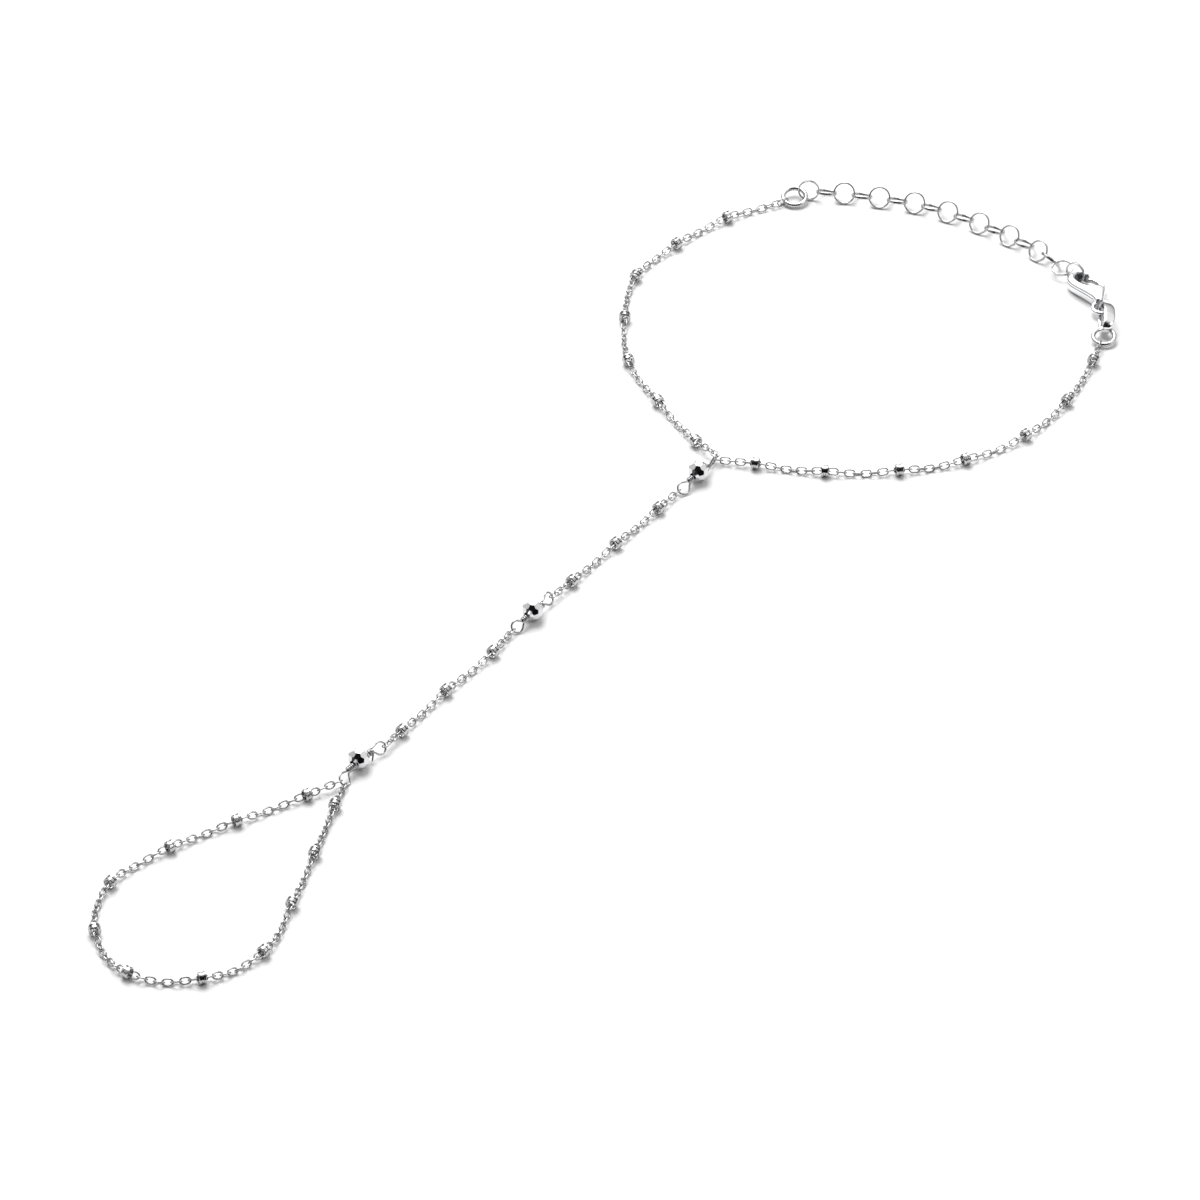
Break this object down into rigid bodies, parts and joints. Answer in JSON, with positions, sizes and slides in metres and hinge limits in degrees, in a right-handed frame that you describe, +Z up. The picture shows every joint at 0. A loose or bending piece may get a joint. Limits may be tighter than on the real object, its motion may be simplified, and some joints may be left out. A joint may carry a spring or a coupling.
{
  "type": "chain bracelet",
  "caption": "Hand chain bracelet: a cable chain for the wrist with small satellite beads, an extender and a lobster clasp, joined by a faceted-bead chain to a finger loop.",
  "frame": {"origin": "middle of the whole piece as it lies open, seen from above, at the level of the surface it lies on", "axes": "+Y runs along the hand chain from the finger loop to the wrist loop, +X across it towards the clasp's side, +Z up from the surface"},
  "size_m": [0.0674, 0.1999, 0.0032],
  "materials": {
    "chain_silver": "polished silver wire",
    "satellite_silver": "polished silver with a dark groove",
    "faceted_silver": "mirror-polished flat facets",
    "wire_silver": "polished silver wire",
    "ring_silver": "polished silver",
    "clasp_silver": "polished silver, softly rounded"
  },
  "bodies": {
    "bracelet": {"wrist_chain_left": "chain_silver", "wrist_chain_right": "chain_silver", "hand_chain_upper": "chain_silver", "hand_chain_lower": "chain_silver", "finger_chain": "chain_silver", "satellite_wrist_left_1": "satellite_silver", "satellite_wrist_left_2": "satellite_silver", "satellite_wrist_left_3": "satellite_silver", "satellite_wrist_left_4": "satellite_silver", "satellite_wrist_left_5": "satellite_silver", "satellite_wrist_left_6": "satellite_silver", "satellite_wrist_left_7": "satellite_silver", "satellite_wrist_right_1": "satellite_silver", "satellite_wrist_right_2": "satellite_silver", "satellite_wrist_right_3": "satellite_silver", "satellite_wrist_right_4": "satellite_silver", "satellite_wrist_right_5": "satellite_silver", "satellite_wrist_right_6": "satellite_silver", "satellite_wrist_right_7": "satellite_silver", "satellite_hand_upper_1": "satellite_silver", "satellite_hand_upper_2": "satellite_silver", "satellite_hand_upper_3": "satellite_silver", "satellite_hand_lower_1": "satellite_silver", "satellite_hand_lower_2": "satellite_silver", "satellite_hand_lower_3": "satellite_silver", "satellite_finger_1": "satellite_silver", "satellite_finger_2": "satellite_silver", "satellite_finger_3": "satellite_silver", "satellite_finger_4": "satellite_silver", "satellite_finger_5": "satellite_silver", "satellite_finger_6": "satellite_silver", "satellite_finger_7": "satellite_silver", "satellite_finger_8": "satellite_silver", "satellite_finger_9": "satellite_silver", "satellite_finger_10": "satellite_silver", "satellite_finger_11": "satellite_silver", "faceted_bead_1": "faceted_silver", "faceted_bead_2": "faceted_silver", "faceted_bead_3": "faceted_silver", "bead_wire_1": "wire_silver", "bead_wire_2": "wire_silver", "bead_wire_3": "wire_silver", "end_ring": "ring_silver", "extender_chain": "ring_silver", "clasp_body": "clasp_silver", "clasp_link": "clasp_silver", "clasp_ring": "ring_silver"},
    "clasp_lever": {"clasp_lever": "clasp_silver"}
  },
  "joints": [
    {"name": "clasp_lever_hinge", "type": "hinge", "parent": "bracelet", "child": "clasp_lever", "pos_m": [0.02253, 0.09534, 0.00102], "axis": [0, 0, 1], "range_deg": [0, 20], "stiffness_Nm_per_rad": 0.002, "springref_deg": -17.19}
  ]
}
